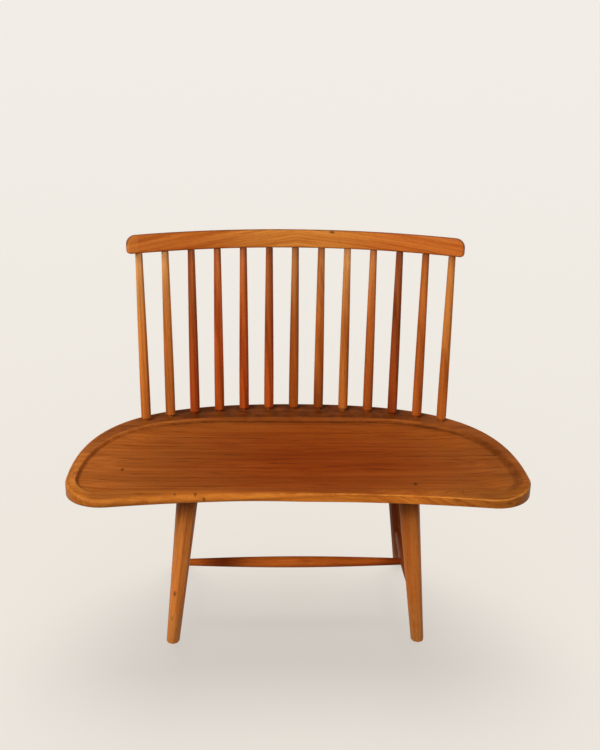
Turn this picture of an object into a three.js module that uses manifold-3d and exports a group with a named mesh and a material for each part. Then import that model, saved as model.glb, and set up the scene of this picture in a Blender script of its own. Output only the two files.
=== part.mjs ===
// A two-seat bench with a spindle back: a dished plank seat on four splayed
// eight-sided legs, a crossed stretcher frame low between them, and thirteen
// tapered spindles under a bent crest rail. Every joint is a glued round tenon
// in a blind round socket. Sizes are in millimetres. X runs along the seat,
// Y to the back and Z up. Places are measured from the floor under the middle
// of the seat's front edge, and the finished bench is centred on its footprint.
import * as THREE from 'three';
import { mergeVertices } from 'three/addons/utils/BufferGeometryUtils.js';
import Module from 'manifold-3d';

const wasm = await Module();
wasm.setup();

// Seat plank
const SEAT_HEIGHT = 440;
const SEAT_THICKNESS = 42;
const SEAT_WIDTH = 1042;
const SEAT_DEPTH = 474;
const FRONT_HOLLOW = 33;
const CORNER_RADIUS = 85;
const SIDE_FULLNESS_SHARE = 0.69;
const BACK_FULLNESS_SHARE = 0.74;
const SEAT_EDGE_ROUND = 5;
const UNDER_BEVEL_RUN = 40;
const UNDER_BEVEL_RISE = 10;

// Raised deck for the spindles, the step inside it and the dish
const DECK_WIDTH_AT_BACK = 92;
const DECK_WIDTH_AT_ENDS = 21;
const STEP_DEPTH = 6;
const STEP_RUN = 9;
const DISH_DEPTH = 13;
const FRONT_DROP = 11;
const FRONT_ROLL = 30;
const DISH_SLOPE_SHARES = [0.12, 0.26, 0.42, 0.58];
const SPINE_LENGTH = 560;

// Spindles, counted along the row from the middle one
const SPINDLE_COUNT = 13;
const SPINDLE_FROM_BACK_EDGE = 32;
const SPINDLE_PITCH_AT_SEAT = 63;
const SPINDLE_PITCH_AT_CREST = 65;
const ROW_BOW_AT_SEAT = 80;
const ROW_BOW_AT_CREST = 69;
const SPINDLE_BASE_WIDTH = 24;
const SPINDLE_TOP_WIDTH = 17.5;
const SPINDLE_SEAT_TENON = 17;
const SPINDLE_CREST_TENON = 11;
const SPINDLE_SHOULDER = 5;
const SPINDLE_TENON_LENGTH = 22;

// Crest rail, leaning back with the spindles
const BACK_HEIGHT = 401;
const BACK_LEAN = 83;
const CREST_FACE = 45;
const CREST_THICKNESS = 22;
const CREST_OVERHANG = 29;
const CREST_TOP_CORNER = 22;
const CREST_BOTTOM_CORNER = 10;
const CREST_EDGE_ROUND = 5;

// Legs
const LEG_SPREAD_AT_SEAT = 503;
const LEG_SPREAD_AT_FLOOR = 585;
const FRONT_LEG_FROM_EDGE = 95;
const REAR_LEG_FROM_EDGE = 105;
const FRONT_LEG_SPLAY = 28;
const REAR_LEG_SPLAY = 47;
const LEG_TOP_WIDTH = 47;
const LEG_FOOT_WIDTH = 29;
const LEG_SIDES = 8;
const LEG_TENON = 26;
const LEG_TENON_LENGTH = 19;

// Stretchers
const STRETCHER_HEIGHT = 110;
const SIDE_STRETCHER_MIDDLE = 28;
const MEDIAL_STRETCHER_MIDDLE = 28;
const STRETCHER_END = 17;
const STRETCHER_TENON_LENGTH = 15;

// Room for glue round every tenon, and how far a cutting body runs past its cut
const GLUE_GAP = 0.3;
const OVERRUN = 5;

// Facet counts
const HOLLOW_STEPS = 10;
const LEAD_IN_STEPS = 1;
const CORNER_STEPS = 8;
const SIDE_STEPS = 20;
const ROUND_STEPS = 3;
const TENON_SIDES = 12;
const SPINDLE_SIDES = 14;
const STRETCHER_SIDES = 18;
const STRETCHER_STEPS = 14;
const CREST_STEPS = 26;

const UNDERSIDE = SEAT_HEIGHT - SEAT_THICKNESS;
const UP = new THREE.Vector3(0, 0, 1);

// Closed bodies and cuts

function toSolid(geometry) {
  const bare = geometry.clone();
  bare.deleteAttribute('normal');
  bare.deleteAttribute('uv');
  const merged = mergeVertices(bare);
  return new wasm.Manifold(new wasm.Mesh({
    numProp: 3,
    vertProperties: new Float32Array(merged.attributes.position.array),
    triVerts: new Uint32Array(merged.index.array),
  }));
}

function toGeometry(solid) {
  const mesh = solid.getMesh();
  const geometry = new THREE.BufferGeometry();
  geometry.setAttribute('position', new THREE.BufferAttribute(mesh.vertProperties, mesh.numProp));
  geometry.setIndex(new THREE.BufferAttribute(mesh.triVerts, 1));
  geometry.computeVertexNormals();
  return geometry;
}

// A body skinned over rings of points. The rings run from the bottom to the
// top, each counter-clockwise seen from above, and fans close both ends.
function skinned(rings) {
  const count = rings[0].length;
  const middle = (ring) => ring
    .reduce((sum, point) => sum.add(point), new THREE.Vector3())
    .divideScalar(count);
  const points = [...rings.flat(), middle(rings[0]), middle(rings.at(-1))];
  const first = points.length - 2;
  const last = points.length - 1;
  const faces = [];
  for (let i = 0; i < count; i += 1) {
    const next = (i + 1) % count;
    faces.push(first, next, i);
    for (let level = 0; level < rings.length - 1; level += 1) {
      const low = level * count;
      const high = low + count;
      faces.push(low + i, low + next, high + next);
      faces.push(low + i, high + next, high + i);
    }
    const top = (rings.length - 1) * count;
    faces.push(last, top + i, top + next);
  }
  const geometry = new THREE.BufferGeometry();
  geometry.setAttribute('position', new THREE.Float32BufferAttribute(
    points.flatMap((point) => point.toArray()),
    3,
  ));
  geometry.setIndex(faces);
  return geometry;
}

// A turned body whose axis runs up Z. The profile holds radius and height.
function turned(profile, sides) {
  const outline = profile.map(([radius, height]) => new THREE.Vector2(radius, height));
  return new THREE.LatheGeometry(outline, sides).rotateX(Math.PI / 2);
}

// The same body stood at one point and turned to run towards another
function aimed(geometry, from, towards) {
  const direction = towards.clone().sub(from).normalize();
  const turn = new THREE.Quaternion().setFromUnitVectors(UP, direction);
  return geometry.clone().applyQuaternion(turn).translate(from.x, from.y, from.z);
}

// A round plug from one point towards another
function plug(radius, from, towards, length) {
  const profile = [[0, 0], [radius, 0], [radius, length], [0, length]];
  return toSolid(aimed(turned(profile, TENON_SIDES), from, towards));
}

// A blind socket for a tenon that ends at one point and comes from another.
// Its flats, and not its corners, stand clear of the tenon.
function socket(tenonWidth, tip, towards, length) {
  const direction = towards.clone().sub(tip).normalize();
  const bottom = tip.clone().addScaledVector(direction, -GLUE_GAP);
  const radius = (tenonWidth / 2 + GLUE_GAP) / Math.cos(Math.PI / TENON_SIDES);
  return plug(radius, bottom, towards, length + GLUE_GAP + OVERRUN);
}

function steadyRise(share) {
  return THREE.MathUtils.smoothstep(share, 0, 1);
}

// Seat plan

// Half of the plan, from the middle of the front round the end to the middle
// of the back: the hollow front, the front corner on either side of its
// foremost place, then the end and the back
function seatPlanHalf() {
  const side = SEAT_WIDTH / 2;
  const cornerX = side - CORNER_RADIUS;
  const hollowRadius = (cornerX ** 2 + FRONT_HOLLOW ** 2) / (2 * FRONT_HOLLOW);
  const cornerY = Math.sqrt((hollowRadius + CORNER_RADIUS) ** 2 - cornerX ** 2) - hollowRadius;
  const meeting = Math.atan2(cornerY + hollowRadius, cornerX);
  const foremost = (3 / 2) * Math.PI;
  const arc = (x, y, radius, from, to, clockwise) => (
    new THREE.EllipseCurve(x, y, radius, radius, from, to, clockwise)
  );
  const path = new THREE.CurvePath();
  path.add(arc(0, -hollowRadius, hollowRadius, Math.PI / 2, meeting, true));
  path.add(arc(cornerX, cornerY, CORNER_RADIUS, meeting + Math.PI, foremost, false));
  path.add(arc(cornerX, cornerY, CORNER_RADIUS, foremost, 2 * Math.PI, false));
  path.add(new THREE.CubicBezierCurve(
    new THREE.Vector2(side, cornerY),
    new THREE.Vector2(side, cornerY + SIDE_FULLNESS_SHARE * (SEAT_DEPTH - cornerY)),
    new THREE.Vector2(BACK_FULLNESS_SHARE * side, SEAT_DEPTH),
    new THREE.Vector2(0, SEAT_DEPTH),
  ));
  return path;
}

// The whole plan as points, each with its inward direction and its share of
// the way round from the front (0) to the back (1). The shares at which the
// front corner starts and ends are kept with it.
function seatPlan() {
  const half = seatPlanHalf();
  const stepCounts = [HOLLOW_STEPS, LEAD_IN_STEPS, CORNER_STEPS, SIDE_STEPS];
  const ends = half.getCurveLengths();
  const total = ends.at(-1);
  const right = half.curves.flatMap((curve, part) => {
    const before = part > 0 ? ends[part - 1] : 0;
    const spots = curve.getSpacedPoints(stepCounts[part]).map((point, i) => {
      const run = THREE.MathUtils.lerp(before, ends[part], i / stepCounts[part]);
      return { point, share: run / total };
    });
    return part > 0 ? spots.slice(1) : spots;
  });
  const left = right.slice(1, -1).reverse().map(({ point, share }) => (
    { point: new THREE.Vector2(-point.x, point.y), share }
  ));
  const loop = [...right, ...left];
  const points = loop.map(({ point, share }, i) => {
    const arriving = point.clone().sub(loop.at(i - 1).point).normalize();
    const leaving = loop[(i + 1) % loop.length].point.clone().sub(point).normalize();
    const along = arriving.add(leaving).normalize();
    return { point, inward: new THREE.Vector2(-along.y, along.x), share };
  });
  return {
    points,
    cornerStartShare: ends[0] / total,
    cornerEndShare: ends.at(-2) / total,
  };
}

// Seat

function seatRings() {
  const { points, cornerStartShare, cornerEndShare } = seatPlan();
  const openness = (share) => {
    const past = (share - cornerStartShare) / (cornerEndShare - cornerStartShare);
    return 1 - steadyRise(THREE.MathUtils.clamp(past, 0, 1));
  };
  const blend = THREE.MathUtils.lerp;
  const ring = (insetAt, heightAt) => points.map(({ point, inward, share }) => {
    const place = point.clone().addScaledVector(inward, insetAt(share));
    return new THREE.Vector3(place.x, place.y, heightAt(share));
  });
  const rimTop = (share) => SEAT_HEIGHT - FRONT_DROP * openness(share);
  const deckWidth = (share) => {
    if (share < cornerEndShare) {
      return blend(DECK_WIDTH_AT_ENDS, FRONT_ROLL, openness(share));
    }
    const back = (share - cornerEndShare) / (1 - cornerEndShare);
    return blend(DECK_WIDTH_AT_ENDS, DECK_WIDTH_AT_BACK, steadyRise(back));
  };
  const faceBottom = UNDERSIDE + UNDER_BEVEL_RISE;
  const rings = [
    ring(() => UNDER_BEVEL_RUN, () => UNDERSIDE),
    ring(() => 0, () => faceBottom),
  ];
  for (let step = 0; step <= ROUND_STEPS; step += 1) {
    const angle = (step / ROUND_STEPS) * (Math.PI / 2);
    const inset = SEAT_EDGE_ROUND * (1 - Math.cos(angle));
    const drop = SEAT_EDGE_ROUND * (1 - Math.sin(angle));
    rings.push(ring(() => inset, (share) => rimTop(share) - drop));
  }
  const floor = SEAT_HEIGHT - DISH_DEPTH;
  const frontLip = (FRONT_DROP + DISH_DEPTH) / 2;
  const stepTop = (share) => SEAT_HEIGHT - frontLip * openness(share);
  const stepFoot = (share) => SEAT_HEIGHT - blend(STEP_DEPTH, DISH_DEPTH, openness(share));
  rings.push(ring(deckWidth, stepTop));
  const foot = ring((share) => deckWidth(share) + STEP_RUN, stepFoot);
  rings.push(foot);
  const spineY = SEAT_DEPTH / 2;
  const slopeEndShare = DISH_SLOPE_SHARES.at(-1);
  DISH_SLOPE_SHARES.forEach((inwardShare) => {
    rings.push(foot.map((place) => {
      const spineX = THREE.MathUtils.clamp(place.x, -SPINE_LENGTH / 2, SPINE_LENGTH / 2);
      return new THREE.Vector3(
        blend(place.x, spineX, inwardShare),
        blend(place.y, spineY, inwardShare),
        blend(place.z, floor, steadyRise(inwardShare / slopeEndShare)),
      );
    }));
  });
  return rings;
}

// Spindle row

// A place on one of the row's two arcs, by its number from the middle spindle
function rowPlace(number, pitch, bow, y, z) {
  const halfSpan = (pitch * (SPINDLE_COUNT - 1)) / 2;
  const radius = (halfSpan ** 2 + bow ** 2) / (2 * bow);
  const angle = (number * pitch) / radius;
  return new THREE.Vector3(radius * Math.sin(angle), y - radius * (1 - Math.cos(angle)), z);
}

function rowAtSeat(number) {
  const y = SEAT_DEPTH - SPINDLE_FROM_BACK_EDGE;
  return rowPlace(number, SPINDLE_PITCH_AT_SEAT, ROW_BOW_AT_SEAT, y, SEAT_HEIGHT);
}

function rowAtCrest(number) {
  const y = SEAT_DEPTH - SPINDLE_FROM_BACK_EDGE + BACK_LEAN;
  return rowPlace(number, SPINDLE_PITCH_AT_CREST, ROW_BOW_AT_CREST, y, SEAT_HEIGHT + BACK_HEIGHT);
}

const spindleNumbers = Array.from({ length: SPINDLE_COUNT }, (_, i) => i - (SPINDLE_COUNT - 1) / 2);

// A spindle up its own axis from the deck, with its rounded foot lifted clear
// of the level deck that it leans over
function spindleGeometry(number) {
  const base = rowAtSeat(number);
  const run = rowAtCrest(number).sub(base);
  const length = run.length();
  const lean = run.angleTo(UP);
  const baseRadius = SPINDLE_BASE_WIDTH / 2;
  const topRadius = SPINDLE_TOP_WIDTH / 2;
  const seatTenon = SPINDLE_SEAT_TENON / 2;
  const crestTenon = SPINDLE_CREST_TENON / 2;
  const lift = GLUE_GAP + baseRadius * Math.tan(lean);
  const reach = length - GLUE_GAP;
  const footRound = (angle) => [
    baseRadius - (baseRadius - seatTenon) * (1 - Math.sin(angle)),
    lift + SPINDLE_SHOULDER * (1 - Math.cos(angle)),
  ];
  const profile = [
    [0, -SPINDLE_TENON_LENGTH],
    [seatTenon, -SPINDLE_TENON_LENGTH],
    footRound(0),
    footRound(Math.PI / 4),
    footRound(Math.PI / 2),
    [topRadius, reach - SPINDLE_SHOULDER],
    [(topRadius + crestTenon) / 2, reach],
    [crestTenon, reach],
    [crestTenon, reach + SPINDLE_TENON_LENGTH],
    [0, reach + SPINDLE_TENON_LENGTH],
  ];
  return turned(profile, SPINDLE_SIDES);
}

function spindleSeatSocket(number) {
  const base = rowAtSeat(number);
  const top = rowAtCrest(number);
  const tip = base.clone().addScaledVector(top.clone().sub(base).normalize(), -SPINDLE_TENON_LENGTH);
  return socket(SPINDLE_SEAT_TENON, tip, top, SPINDLE_TENON_LENGTH);
}

function spindleCrestSocket(number) {
  const base = rowAtSeat(number);
  const top = rowAtCrest(number);
  const tip = top.clone().addScaledVector(top.clone().sub(base).normalize(), SPINDLE_TENON_LENGTH);
  return socket(SPINDLE_CREST_TENON, tip, base, SPINDLE_TENON_LENGTH);
}

// Crest rail

// How much a rounded corner takes off at a distance from the end
function cornerCut(radius, fromEnd) {
  const inside = Math.max(radius - fromEnd, 0);
  return radius - Math.sqrt(radius ** 2 - inside ** 2);
}

// One cross-section of the rail, with rounded edges, at a number along the row
function crestSection(number, fromEnd) {
  const bottom = rowAtCrest(number);
  const up = bottom.clone().sub(rowAtSeat(number)).normalize();
  const halfSpindle = 0.5;
  const along = rowAtCrest(number + halfSpindle).sub(rowAtCrest(number - halfSpindle)).normalize();
  const back = up.clone().cross(along).normalize();
  const low = cornerCut(CREST_BOTTOM_CORNER, fromEnd);
  const high = CREST_FACE - cornerCut(CREST_TOP_CORNER, fromEnd);
  const half = CREST_THICKNESS / 2 - cornerCut(CREST_EDGE_ROUND, fromEnd);
  const round = CREST_EDGE_ROUND - cornerCut(CREST_EDGE_ROUND, fromEnd) / 2;
  const corners = [
    [half, low, 0],
    [half, high, 1],
    [-half, high, 2],
    [-half, low, 3],
  ];
  return corners.flatMap(([across, height, quarter]) => {
    const centreAcross = across - Math.sign(across) * round;
    const centreHeight = height + (quarter === 0 || quarter === 3 ? round : -round);
    return Array.from({ length: ROUND_STEPS + 1 }, (_, step) => {
      const angle = (quarter - 1 + step / ROUND_STEPS) * (Math.PI / 2);
      return bottom.clone()
        .addScaledVector(back, centreAcross + round * Math.cos(angle))
        .addScaledVector(up, centreHeight + round * Math.sin(angle));
    });
  });
}

function crestRings() {
  const lastSpindle = (SPINDLE_COUNT - 1) / 2;
  const halfLength = lastSpindle * SPINDLE_PITCH_AT_CREST + CREST_OVERHANG;
  const places = [];
  for (let step = 0; step < ROUND_STEPS * 2; step += 1) {
    const angle = (step / (ROUND_STEPS * 2)) * (Math.PI / 2);
    places.push(CREST_TOP_CORNER * (1 - Math.cos(angle)));
  }
  const straight = 2 * (halfLength - CREST_TOP_CORNER);
  for (let step = 0; step <= CREST_STEPS; step += 1) {
    places.push(CREST_TOP_CORNER + (straight * step) / CREST_STEPS);
  }
  const startPlaces = places.slice(0, ROUND_STEPS * 2).reverse();
  startPlaces.forEach((place) => places.push(2 * halfLength - place));
  return places.map((place) => {
    const fromMiddle = place - halfLength;
    const fromEnd = halfLength - Math.abs(fromMiddle);
    return crestSection(fromMiddle / SPINDLE_PITCH_AT_CREST, fromEnd);
  });
}

// Legs and stretchers

const sides = { left: -1, right: 1 };
const ranks = { front: -1, rear: 1 };

// A leg's axis from the floor to the underside of the seat
function legAxis(side, rank) {
  const atFront = rank === ranks.front;
  const topY = atFront ? FRONT_LEG_FROM_EDGE : SEAT_DEPTH - REAR_LEG_FROM_EDGE;
  const footY = atFront ? topY - FRONT_LEG_SPLAY : topY + REAR_LEG_SPLAY;
  const foot = new THREE.Vector3((side * LEG_SPREAD_AT_FLOOR) / 2, footY, 0);
  const top = new THREE.Vector3((side * LEG_SPREAD_AT_SEAT) / 2, topY, UNDERSIDE);
  return { foot, top };
}

function legPlaceAtHeight(side, rank, height) {
  const { foot, top } = legAxis(side, rank);
  return foot.lerp(top, height / UNDERSIDE);
}

// How much wider an eight-sided leg is over its corners than over its flats
const cornerRatio = 1 / Math.cos(Math.PI / LEG_SIDES);

function legWidthAtHeight(height) {
  const flats = THREE.MathUtils.lerp(LEG_FOOT_WIDTH, LEG_TOP_WIDTH, height / UNDERSIDE);
  return flats * cornerRatio;
}

function sideStretcherEnds(side) {
  return [
    legPlaceAtHeight(side, ranks.front, STRETCHER_HEIGHT),
    legPlaceAtHeight(side, ranks.rear, STRETCHER_HEIGHT),
  ];
}

function sideStretcherMiddle(side) {
  const [front, rear] = sideStretcherEnds(side);
  return front.lerp(rear, 1 / 2);
}

// A plain box with its middle at a height
function slab(width, depth, bottom, top) {
  const box = new THREE.BoxGeometry(width, depth, top - bottom);
  return toSolid(box.translate(0, SEAT_DEPTH / 2, (bottom + top) / 2));
}

// An eight-sided tapered leg, cut flat at the floor and under the seat, with
// its round top tenon and the socket of its side stretcher
function legSolid(side, rank) {
  const { foot, top } = legAxis(side, rank);
  const length = foot.distanceTo(top);
  const taper = (LEG_TOP_WIDTH - LEG_FOOT_WIDTH) / length;
  const radiusAt = (place) => (cornerRatio * (LEG_FOOT_WIDTH + taper * place)) / 2;
  const past = LEG_TOP_WIDTH;
  const profile = [
    [0, -LEG_FOOT_WIDTH],
    [radiusAt(-LEG_FOOT_WIDTH), -LEG_FOOT_WIDTH],
    [radiusAt(length + past), length + past],
    [0, length + past],
  ];
  const blank = toSolid(aimed(turned(profile, LEG_SIDES), foot, top));
  const body = blank.intersect(slab(SEAT_WIDTH, 2 * SEAT_DEPTH, 0, UNDERSIDE - GLUE_GAP));
  const direction = top.clone().sub(foot).normalize();
  const root = top.clone().addScaledVector(direction, -LEG_TENON);
  const tenon = plug(LEG_TENON / 2, root, top, LEG_TENON + LEG_TENON_LENGTH);
  const other = legPlaceAtHeight(side, -rank, STRETCHER_HEIGHT);
  const tip = legPlaceAtHeight(side, rank, STRETCHER_HEIGHT);
  return body.add(tenon).subtract(socket(STRETCHER_END, tip, other, LEG_TOP_WIDTH));
}

function legSeatSocket(side, rank) {
  const { foot, top } = legAxis(side, rank);
  const direction = top.clone().sub(foot).normalize();
  const tip = top.clone().addScaledVector(direction, LEG_TENON_LENGTH);
  return socket(LEG_TENON, tip, foot, LEG_TENON_LENGTH + LEG_TENON);
}

// A stretcher along its own axis: straight ends inside the pieces that hold
// it, and a long swell between them
function stretcherGeometry(length, middleWidth, hiddenAtEnds) {
  const endRadius = STRETCHER_END / 2;
  const swell = (middleWidth - STRETCHER_END) / 2;
  const shown = length - 2 * hiddenAtEnds;
  const profile = [[0, 0], [endRadius, 0]];
  for (let step = 0; step <= STRETCHER_STEPS; step += 1) {
    const share = step / STRETCHER_STEPS;
    profile.push([endRadius + swell * Math.sin(Math.PI * share), hiddenAtEnds + shown * share]);
  }
  profile.push([endRadius, length], [0, length]);
  return turned(profile, STRETCHER_SIDES);
}

function medialTip(side) {
  const tip = sideStretcherMiddle(side);
  tip.x -= side * (SIDE_STRETCHER_MIDDLE / 2 - STRETCHER_TENON_LENGTH);
  return tip;
}

// Pieces

const CHERRY = 0xa85a26;
const CHERRY_RED = 0x8f431d;
const CHERRY_PALE = 0xb96a30;

function piece(name, geometry, colour, roughness) {
  const material = new THREE.MeshStandardMaterial({ color: colour, roughness, metalness: 0 });
  const mesh = new THREE.Mesh(geometry, material);
  mesh.name = name;
  return mesh;
}

// A piece modelled up its own axis, stood at one point and aimed at another
function aimedPiece(name, geometry, colour, roughness, from, towards) {
  const mesh = piece(name, geometry, colour, roughness);
  mesh.position.copy(from);
  mesh.quaternion.setFromUnitVectors(UP, towards.clone().sub(from).normalize());
  return mesh;
}

function makeSeat() {
  let solid = toSolid(skinned(seatRings()));
  spindleNumbers.forEach((number) => {
    solid = solid.subtract(spindleSeatSocket(number));
  });
  Object.values(sides).forEach((side) => {
    Object.values(ranks).forEach((rank) => {
      solid = solid.subtract(legSeatSocket(side, rank));
    });
  });
  return piece('seat', toGeometry(solid), CHERRY, 0.35);
}

function makeBack() {
  const back = new THREE.Group();
  spindleNumbers.forEach((number, i) => {
    const name = `spindle_${String(i + 1).padStart(2, '0')}`;
    const colour = i % 2 === 0 ? CHERRY_PALE : CHERRY_RED;
    const geometry = spindleGeometry(number);
    back.add(aimedPiece(name, geometry, colour, 0.4, rowAtSeat(number), rowAtCrest(number)));
  });
  let rail = toSolid(skinned(crestRings()));
  spindleNumbers.forEach((number) => {
    rail = rail.subtract(spindleCrestSocket(number));
  });
  back.add(piece('crest_rail', toGeometry(rail), CHERRY, 0.38));
  return back;
}

function makeBase() {
  const base = new THREE.Group();
  Object.entries(sides).forEach(([sideName, side]) => {
    Object.entries(ranks).forEach(([rankName, rank]) => {
      const { foot } = legAxis(side, rank);
      const geometry = toGeometry(legSolid(side, rank)).translate(-foot.x, -foot.y, -foot.z);
      const mesh = piece(`leg_${rankName}_${sideName}`, geometry, CHERRY_PALE, 0.4);
      mesh.position.copy(foot);
      base.add(mesh);
    });
  });
  Object.entries(sides).forEach(([sideName, side]) => {
    const [front, rear] = sideStretcherEnds(side);
    const hidden = legWidthAtHeight(STRETCHER_HEIGHT) / 2 + GLUE_GAP;
    const turnedBody = stretcherGeometry(front.distanceTo(rear), SIDE_STRETCHER_MIDDLE, hidden);
    const body = toSolid(aimed(turnedBody, front, rear));
    const cut = socket(STRETCHER_END, medialTip(side), medialTip(-side), SIDE_STRETCHER_MIDDLE);
    const geometry = toGeometry(body.subtract(cut)).translate(-front.x, -front.y, -front.z);
    const mesh = piece(`side_stretcher_${sideName}`, geometry, CHERRY_RED, 0.4);
    mesh.position.copy(front);
    base.add(mesh);
  });
  const leftTip = medialTip(sides.left);
  const rightTip = medialTip(sides.right);
  const span = leftTip.distanceTo(rightTip);
  const buried = STRETCHER_TENON_LENGTH + GLUE_GAP;
  const medial = stretcherGeometry(span, MEDIAL_STRETCHER_MIDDLE, buried);
  base.add(aimedPiece('medial_stretcher', medial, CHERRY_RED, 0.4, leftTip, rightTip));
  return base;
}

const bench = new THREE.Group();
bench.add(makeSeat(), makeBack(), makeBase());
bench.updateMatrixWorld(true);
const reach = new THREE.Box3().setFromObject(bench, true);
bench.position.y = -(reach.min.y + reach.max.y) / 2;
bench.updateMatrixWorld(true);

export default bench;
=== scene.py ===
"""A two-seat bench with a dished plank seat, splayed eight-sided legs, a crossed
stretcher frame and a spindle back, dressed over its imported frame."""

import math
from collections import namedtuple

import bmesh
import bpy
from mathutils import Matrix, Vector


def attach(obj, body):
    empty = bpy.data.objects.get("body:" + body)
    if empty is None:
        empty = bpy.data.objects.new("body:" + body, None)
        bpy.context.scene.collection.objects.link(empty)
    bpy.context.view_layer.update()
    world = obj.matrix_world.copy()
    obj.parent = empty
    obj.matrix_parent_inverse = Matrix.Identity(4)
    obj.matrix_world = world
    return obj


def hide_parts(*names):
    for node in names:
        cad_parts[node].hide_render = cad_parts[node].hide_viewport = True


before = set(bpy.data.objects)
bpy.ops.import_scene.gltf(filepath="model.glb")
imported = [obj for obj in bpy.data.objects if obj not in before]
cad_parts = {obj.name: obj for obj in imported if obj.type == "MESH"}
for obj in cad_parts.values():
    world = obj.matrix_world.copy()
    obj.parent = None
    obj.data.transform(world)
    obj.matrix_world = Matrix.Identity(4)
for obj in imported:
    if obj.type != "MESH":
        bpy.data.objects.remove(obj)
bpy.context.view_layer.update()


# ------------------------------------------------
# Studio: a plain pale floor and an even room, with a broad window light from
# the front left and a weaker one from the right. A high light that reaches the
# floor alone lays the bench's one soft shadow.

NEAR_FLOOR = (0.735, 0.698, 0.642, 1.0)
FAR_FLOOR = (0.785, 0.758, 0.718, 1.0)
NEAR_EDGE = 1.8
FLOOR_REACH = 60.0
FLOOR_GLOW = 0.736
FLOOR_MATT = 0.4
ROOM_TONE = (1.0, 0.965, 0.915, 1.0)
ROOM_LEVEL = 0.33
PAPER_TONE = (0.888, 0.847, 0.783, 1.0)
PAPER_TOP = 0.02
PAPER_FADE = 0.30
CEILING = 0.06
WINDOW_LEVEL = 2.4
SIDE_LEVEL = 0.42
SHADE_LEVEL = 2.35
CAMERA_PLACE = (-0.1272, -2.4608, 1.6033)
CAMERA_TURN = -3.070
CAMERA_DIP = 22.012
CAMERA_ROLL = 1.414
LENS = 54.3
LENS_FRAME_HEIGHT = 36.0


def node(tree, kind, settings=None, **sockets):
    """Adds a node, sets its properties, and fills or links its sockets, each
    by its name or, as n0 or n1, by its number."""
    made = tree.nodes.new("ShaderNode" + kind)
    for key, value in (settings or {}).items():
        setattr(made, key, value)
    for key, value in sockets.items():
        numbered = key[0] == "n" and key[1:].isdigit()
        socket = made.inputs[int(key[1:]) if numbered else key.replace("_", " ")]
        if isinstance(value, bpy.types.NodeSocket):
            tree.links.new(value, socket)
        else:
            socket.default_value = value
    return made


def maths(tree, operation, *values, clamp=False):
    """One sum on numbers."""
    numbered = {f"n{count}": value for count, value in enumerate(values)}
    settings = {"operation": operation, "use_clamp": clamp}
    return node(tree, "Math", settings, **numbered).outputs[0]


def vectors(tree, operation, *values, **named):
    """One sum on vectors, which gives a vector or, for a length, a number."""
    named.update({f"n{count}": value for count, value in enumerate(values)})
    made = node(tree, "VectorMath", {"operation": operation}, **named)
    return made.outputs["Value" if operation == "LENGTH" else "Vector"]


def smooth(tree, value, low, high, start=0.0, end=1.0):
    """A soft passage from one number to another between two values."""
    return node(tree, "MapRange", {"interpolation_type": "SMOOTHSTEP"}, Value=value,
                From_Min=low, From_Max=high, To_Min=start, To_Max=end).outputs[0]


def mixed_colour(tree, share, first, second):
    """Mixes two colours."""
    return node(tree, "Mix", {"data_type": "RGBA"}, n0=share, n6=first, n7=second).outputs[2]


def paper_seen(tree):
    """1 for the camera, gloss and glass, which see the pale studio itself."""
    path = node(tree, "LightPath").outputs
    seen = maths(tree, "MAXIMUM", path["Is Camera Ray"], path["Is Glossy Ray"])
    return maths(tree, "MAXIMUM", seen, path["Is Transmission Ray"])


def fresh_material(name):
    """An empty node material."""
    made = bpy.data.materials.new(name)
    made.use_nodes = True
    made.node_tree.nodes.clear()
    return made


def lay_floor():
    """One broad plane, paler with distance, that keeps the bench's shadow."""
    material = fresh_material("studio_floor")
    tree = material.node_tree
    reach = vectors(tree, "LENGTH", node(tree, "TexCoord").outputs["Object"])
    share = maths(tree, "DIVIDE", NEAR_EDGE, maths(tree, "ADD", reach, NEAR_EDGE))
    tone = mixed_colour(tree, share, FAR_FLOOR, NEAR_FLOOR)
    matt = node(tree, "BsdfDiffuse", Color=vectors(tree, "SCALE", tone, Scale=FLOOR_MATT))
    level = maths(tree, "MULTIPLY", paper_seen(tree), FLOOR_GLOW)
    glow = node(tree, "Emission", Color=tone, Strength=level)
    both = node(tree, "AddShader", n0=matt.outputs[0], n1=glow.outputs[0])
    node(tree, "OutputMaterial", Surface=both.outputs[0])
    shape = bmesh.new()
    bmesh.ops.create_grid(shape, x_segments=1, y_segments=1, size=FLOOR_REACH)
    mesh = bpy.data.meshes.new("studio_floor")
    shape.to_mesh(mesh)
    shape.free()
    mesh.materials.append(material)
    floor = bpy.data.objects.new("studio_floor", mesh)
    bpy.context.scene.collection.objects.link(floor)
    return floor


def light_room():
    """The room's even light, and the pale paper under a dim ceiling that the
    camera, gloss and glass see."""
    world = bpy.data.worlds.new("studio_room")
    bpy.context.scene.world = world
    world.use_nodes = True
    tree = world.node_tree
    tree.nodes.clear()
    toward = node(tree, "TexCoord").outputs["Generated"]
    height = node(tree, "SeparateXYZ", Vector=toward).outputs["Z"]
    paper = smooth(tree, height, PAPER_TOP, PAPER_TOP + PAPER_FADE, 1.0, CEILING)
    paper = maths(tree, "MAXIMUM", paper, node(tree, "LightPath").outputs["Is Camera Ray"])
    lit = node(tree, "Background", Color=ROOM_TONE, Strength=ROOM_LEVEL)
    shown = node(tree, "Background", Color=PAPER_TONE, Strength=paper)
    both = node(tree, "MixShader", Fac=paper_seen(tree), n1=lit.outputs[0], n2=shown.outputs[0])
    node(tree, "OutputWorld", Surface=both.outputs[0])


def turned(degrees, axis):
    return Matrix.Rotation(math.radians(degrees), 4, axis)


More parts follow.
